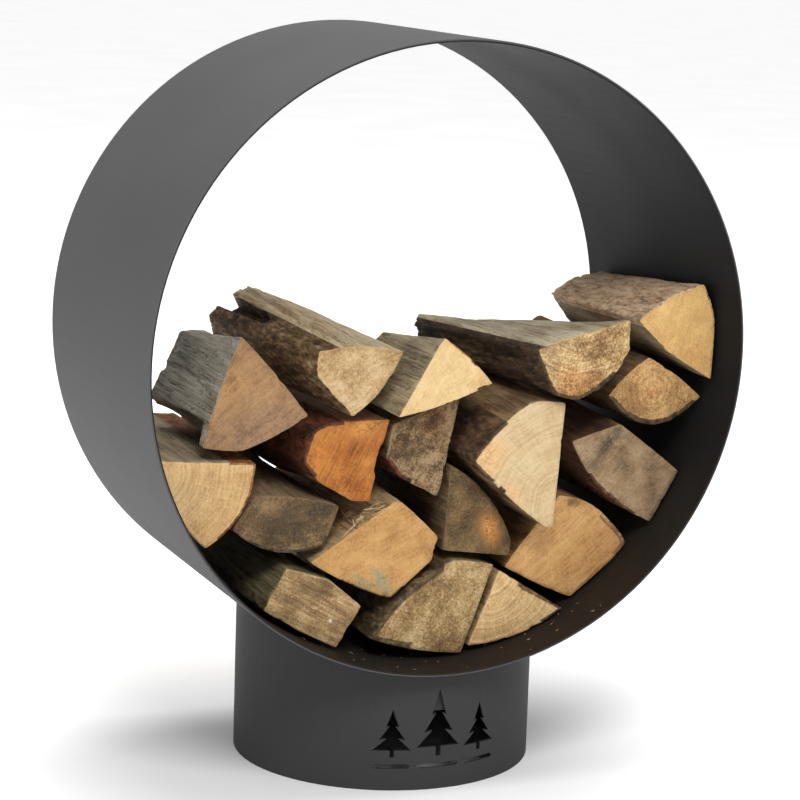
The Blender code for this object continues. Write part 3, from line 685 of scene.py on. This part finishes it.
    # What the material reads
    rim = np.zeros(len(vertices))
    rim_cap = np.repeat(1 - inward, AROUND) * np.tile(radii[0], CAP_RINGS)
    bark_all = np.zeros(len(vertices))
    bark_all[:side_count] = bark
    wear_all = np.zeros(len(vertices))
    wear_all[:side_count] = wear
    groove_all = np.zeros(len(vertices))
    groove_all[:side_count] = groove
    for which, first in enumerate((side_count, side_count + cap_count + 1)):
        rim[first:first + cap_count] = rim_cap
        rim[first + cap_count] = radii[which].min()
        edge_bark = bark[:AROUND] if which == 0 else bark[-AROUND:]
        bark_all[first:first + cap_count] = np.tile(edge_bark, CAP_RINGS)
    for label, values in (("bark", bark_all), ("rim", rim), ("wear", wear_all), ("groove", groove_all)):
        attribute = mesh.attributes.new(label, "FLOAT", "POINT")
        attribute.data.foreach_set("value", values.astype(np.float32))
    corner_end = np.zeros(len(mesh.loops), np.float32)
    corner_end[side_faces * 4:] = 1.0
    attribute = mesh.attributes.new("end_face", "FLOAT", "CORNER")
    attribute.data.foreach_set("value", corner_end)

    piece = bpy.data.objects.new(name + "_split", mesh)
    bpy.context.scene.collection.objects.link(piece)
    mesh.materials.append(wood_material(name, style, centres[0], seed))
    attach(piece, "split_" + name)
    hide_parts(name)
    return piece


def splinter(start, along, length, width, rng):
    """One thin curled splinter, closed at both ends: its points and its faces."""
    along = along / np.linalg.norm(along)
    across = np.cross(along, (0.0, 0.0, 1.0) if abs(along[2]) < 0.8 else (1.0, 0.0, 0.0))
    across /= np.linalg.norm(across)
    other = np.cross(along, across)
    curl = rng.uniform(-0.12, 0.12, 2)
    points = []
    for step in range(SPLINTER_STEPS):
        share = step / (SPLINTER_STEPS - 1)
        middle = start + along * length * share
        middle = middle + (across * curl[0] + other * curl[1]) * length * share * (1 - share)
        half = width * (0.12 + math.sin(math.pi * (0.08 + 0.84 * share)) ** 0.6) / 2
        for side in range(SPLINTER_SIDES):
            angle = 2 * math.pi * side / SPLINTER_SIDES
            ragged = half * rng.uniform(0.75, 1.1)
            points.append(middle + across * math.cos(angle) * ragged + other * math.sin(angle) * ragged * 0.5)
    faces = []
    for step in range(SPLINTER_STEPS - 1):
        for side in range(SPLINTER_SIDES):
            after = (side + 1) % SPLINTER_SIDES
            low, high = step * SPLINTER_SIDES, (step + 1) * SPLINTER_SIDES
            faces.append((low + side, low + after, high + after, high + side))
    faces.append(tuple(reversed(range(SPLINTER_SIDES))))
    faces.append(tuple(range(len(points) - SPLINTER_SIDES, len(points))))
    return points, faces


def splinter_material(name, colours):
    material, tree, shader, coordinates = start_material(name)
    place = scaled(tree, coordinates, (700, 160, 700))
    fibre = speckle(tree, place, detail=4, roughness=0.65)
    colour = tones(tree, fibre, colours)
    finish_surface(tree, shader, colour, spread(tree, fibre, 0.3, 0.7, 0.7, 0.9), fibre, 0.2 * MM)
    shader.inputs["Specular IOR Level"].default_value = 0.2
    return material


def add_splinters(name, made, material, body):
    points, faces = [], []
    for some_points, some_faces in made:
        faces += [tuple(corner + len(points) for corner in face) for face in some_faces]
        points += [tuple(point) for point in some_points]
    mesh = bpy.data.meshes.new(name)
    mesh.from_pydata(points, [], faces)
    mesh.update()
    mesh.materials.append(material)
    piece = bpy.data.objects.new(name, mesh)
    bpy.context.scene.collection.objects.link(piece)
    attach(piece, body)


def build_splinters():
    """Torn fibres along the upper left of log_low_tan, and crumbs of wood on the drum's floor."""
    rng = np.random.default_rng(12)
    outline, front_y = end_sections(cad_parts["log_low_tan"])[0]
    centre = area_centre(outline)
    made = []
    for _ in range(TORN_FIBRES):
        angle = math.radians(rng.uniform(*TORN_ARC))
        out = np.array((math.cos(angle), 0.0, math.sin(angle)))
        radius = reach(outline, centre, np.array((angle,)))[0]
        start = np.array((centre[0], front_y + rng.uniform(3, 62) * MM, centre[1])) + out * radius
        sideways = np.cross(out, (0.0, 1.0, 0.0))
        along = np.array((0.0, 1.0, 0.0)) * rng.choice((-0.35, 1.0)) + sideways * rng.normal(0, 0.5)
        along = along + out * rng.uniform(0.02, 0.22)
        made.append(splinter(start, along, rng.uniform(9, 30) * MM, rng.uniform(0.7, 1.7) * MM, rng))
    torn = splinter_material("torn_fibres", ((176, 142, 98), (222, 194, 150), (242, 224, 190)))
    add_splinters("low_tan_torn_fibres", made, torn, "split_log_low_tan")

    made = []
    for _ in range(CRUMBS):
        angle = math.radians(rng.uniform(-116, -56))
        out = np.array((math.cos(angle), 0.0, math.sin(angle)))
        floor = DRUM_RADIUS - DRUM_SHEET - rng.uniform(0.4, 0.7) * MM
        level = DRUM_CENTRE.y - rng.uniform(0.27, 0.48) * DRUM_DEPTH
        start = np.array((DRUM_CENTRE.x, level, DRUM_CENTRE.z)) + out * floor
        sideways = np.cross(out, (0.0, 1.0, 0.0))
        turn = rng.uniform(0, 2 * math.pi)
        along = sideways * math.cos(turn) + np.array((0.0, 1.0, 0.0)) * math.sin(turn)
        made.append(splinter(start, along, rng.uniform(1.2, 4.5) * MM, rng.uniform(0.6, 1.3) * MM, rng))
    crumbs = splinter_material("wood_crumbs", ((92, 70, 46), (150, 120, 84), (204, 176, 134)))
    add_splinters("drum_floor_crumbs", made, crumbs, "root")


# --- Steel --------------------------------------------------------------------------------------------------

def paint_material(name, base, dark, seed, inner=None):
    """Matt charcoal powder coat with soft clouding and fine orange peel. Given inner colours, the drum's
    inside gets painted shade, lighter towards the top, and dust low down.
    """
    material, tree, shader, coordinates = start_material(name)
    place = put(tree, "VectorMath", {0: coordinates, 1: (seed, seed, seed)}, operation="ADD").outputs[0]
    clouds = speckle(tree, scaled(tree, place, (5, 5, 5)), detail=4)
    mottle = speckle(tree, scaled(tree, place, (60, 60, 60)), detail=4)
    peel = speckle(tree, scaled(tree, place, (1300, 1300, 1300)), detail=2)
    colour = mix(tree, spread(tree, clouds, 0.3, 0.7), paint(*dark), paint(*base))
    colour = mix(tree, spread(tree, mottle, 0.45, 0.7, 0.0, 0.10), colour, paint(*dark))
    # Inside the drum: painted shade, far darker than the outer coat, lighter towards the top as painted light
    # for what bounces up from the floor; brown dust lies low down.
    if inner:
        split = put(tree, "SeparateXYZ", {0: coordinates})
        rise = math_node(tree, "SUBTRACT", split.outputs[2], DRUM_CENTRE.z)
        low = spread(tree, rise, -0.02, -0.24)
        across = put(tree, "CombineXYZ", {0: split.outputs[0], 2: rise}).outputs[0]
        radius = put(tree, "VectorMath", {0: across}, operation="LENGTH").outputs["Value"]
        inside = spread(tree, radius, DRUM_RADIUS - 1.0 * MM, DRUM_RADIUS - 2.0 * MM)
        high = spread(tree, rise, 0.02, 0.27)
        colour = mix(tree, inside, colour, mix(tree, high, paint(*inner[0]), paint(*inner[1])))
        dust = spread(tree, mottle, 0.3, 0.6, 0.5, 1.0)
        dusty = math_node(tree, "MULTIPLY", math_node(tree, "MULTIPLY", low, inside), dust)
        colour = mix(tree, dusty, colour, paint(38, 32, 26))
    roughness = spread(tree, clouds, 0.3, 0.7, 0.60, 0.66)
    finish_surface(tree, shader, colour, roughness, peel, 0.12 * MM)
    shader.inputs["Specular IOR Level"].default_value = 0.12
    return material


def zinc_material():
    material, tree, shader, coordinates = start_material("zinc_plated_steel")
    spangle = speckle(tree, scaled(tree, coordinates, (700, 700, 700)), detail=3)
    tarnish = speckle(tree, scaled(tree, coordinates, (160, 160, 160)), detail=3)
    colour = mix(tree, spread(tree, spangle, 0.35, 0.65), paint(150, 152, 154), paint(190, 191, 192))
    colour = mix(tree, spread(tree, tarnish, 0.45, 0.7, 0.0, 0.4), colour, paint(112, 104, 92))
    finish_surface(tree, shader, colour, spread(tree, spangle, 0.3, 0.7, 0.28, 0.46), spangle, 0.05 * MM)
    shader.inputs["Metallic"].default_value = 1.0
    return material


def finish_steel():
    # Painted shade for the drum's inside, the second colour for its upper part.
    inner = (26, 26, 27), (29, 29, 30)
    # The drum's coat is lighter than the pedestal's, partly as painted sheen for the grazing reflection on
    # the drum's outside.
    drum = paint_material("drum_powder_coat", (80, 80, 81), (75, 75, 76), 1.3, inner)
    pedestal = paint_material("pedestal_powder_coat", (57, 57, 58), (53, 53, 54), 4.1)
    zinc = zinc_material()
    chosen = {"drum_hoop": drum, "pedestal_tube": pedestal, "base_ring": pedestal, "saddle_strap": pedestal}
    for name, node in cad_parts.items():
        if name in chosen:
            node.material_slots[0].material = chosen[name]
        elif name.startswith(("bolt_", "washer_", "nut_")):
            node.material_slots[0].material = zinc


# --- Surroundings -------------------------------------------------------------------------------------------

def make_floor():
    mesh = bpy.data.meshes.new("studio_floor")
    half = 60.0
    corners = [(-half, -half, 0), (half, -half, 0), (half, half, 0), (-half, half, 0)]
    mesh.from_pydata(corners, [], [(0, 1, 2, 3)])
    floor = bpy.data.objects.new("studio_floor", mesh)
    bpy.context.scene.collection.objects.link(floor)
    material, tree, shader, coordinates = start_material("studio_floor_paper")
    tone = speckle(tree, scaled(tree, coordinates, (3, 3, 3)), detail=3)
    colour = mix(tree, spread(tree, tone, 0.3, 0.7), paint(240, 240, 240), paint(244, 244, 244))
    tree.links.new(colour, shader.inputs["Base Color"])
    away = put(tree, "VectorMath", {0: coordinates}, operation="LENGTH").outputs["Value"]
    glow = mix(tree, spread(tree, away, 0.20, 0.75), (0.0, 0.0, 0.0, 1.0), colour)
    tree.links.new(glow, shader.inputs["Emission Color"])
    shader.inputs["Emission Strength"].default_value = 0.55
    shader.inputs["Roughness"].default_value = 0.9
    shader.inputs["Specular IOR Level"].default_value = 0.1
    mesh.materials.append(material)


def add_area(name, place, aim, size, power):
    light = bpy.data.lights.new(name, "AREA")
    light.shape = "DISK"
    light.size = size
    light.energy = power
    lamp = bpy.data.objects.new(name, light)
    bpy.context.scene.collection.objects.link(lamp)
    lamp.location = place
    lamp.rotation_mode = "QUATERNION"
    lamp.rotation_quaternion = (Vector(aim) - Vector(place)).to_track_quat("-Z", "Y")


def make_lights():
    world = bpy.data.worlds.new("studio")
    world.use_nodes = True
    background = world.node_tree.nodes["Background"]
    background.inputs["Color"].default_value = (1.0, 1.0, 1.0, 1.0)
    background.inputs["Strength"].default_value = 0.52
    bpy.context.scene.world = world
    aim = (0.0, 0.0, 0.35)
    add_area("key_light", (-0.70, -2.75, 3.25), aim, 1.5, 92)
    add_area("side_light", (-3.0, -1.2, 1.9), aim, 2.2, 15)
    add_area("top_light", (0.6, 0.4, 3.5), aim, 3.0, 96)
    add_area("fill_light", (2.9, -2.0, 1.5), aim, 2.4, 8)


def make_camera():
    azimuth, elevation, roll = (math.radians(v) for v in (CAMERA_AZIMUTH, CAMERA_ELEVATION, CAMERA_ROLL))
    back = Vector((
        math.sin(azimuth) * math.cos(elevation), -math.cos(azimuth) * math.cos(elevation), math.sin(elevation)
    ))
    target = DRUM_CENTRE + Vector((CAMERA_SIDEWAYS, 0.0, CAMERA_UP)) * DRUM_RADIUS
    right = Vector((0.0, 0.0, 1.0)).cross(back).normalized()
    up = back.cross(right)
    side = right * math.cos(roll) + up * math.sin(roll)
    top = up * math.cos(roll) - right * math.sin(roll)
    data = bpy.data.cameras.new("studio_camera")
    data.lens = CAMERA_LENS
    data.clip_end = 200.0
    camera = bpy.data.objects.new("studio_camera", data)
    bpy.context.scene.collection.objects.link(camera)
    turn = Matrix((side, top, back)).transposed().to_4x4()
    camera.matrix_world = Matrix.Translation(target + back * CAMERA_DISTANCE * DRUM_RADIUS) @ turn
    bpy.context.scene.camera = camera


def main():
    scene = bpy.context.scene
    scene.view_settings.view_transform = "Standard"
    finish_steel()
    for seed, (name, style) in enumerate(LOG_STYLES.items(), start=1):
        build_log(name, style, seed)
    build_splinters()
    make_floor()
    make_lights()
    make_camera()


main()
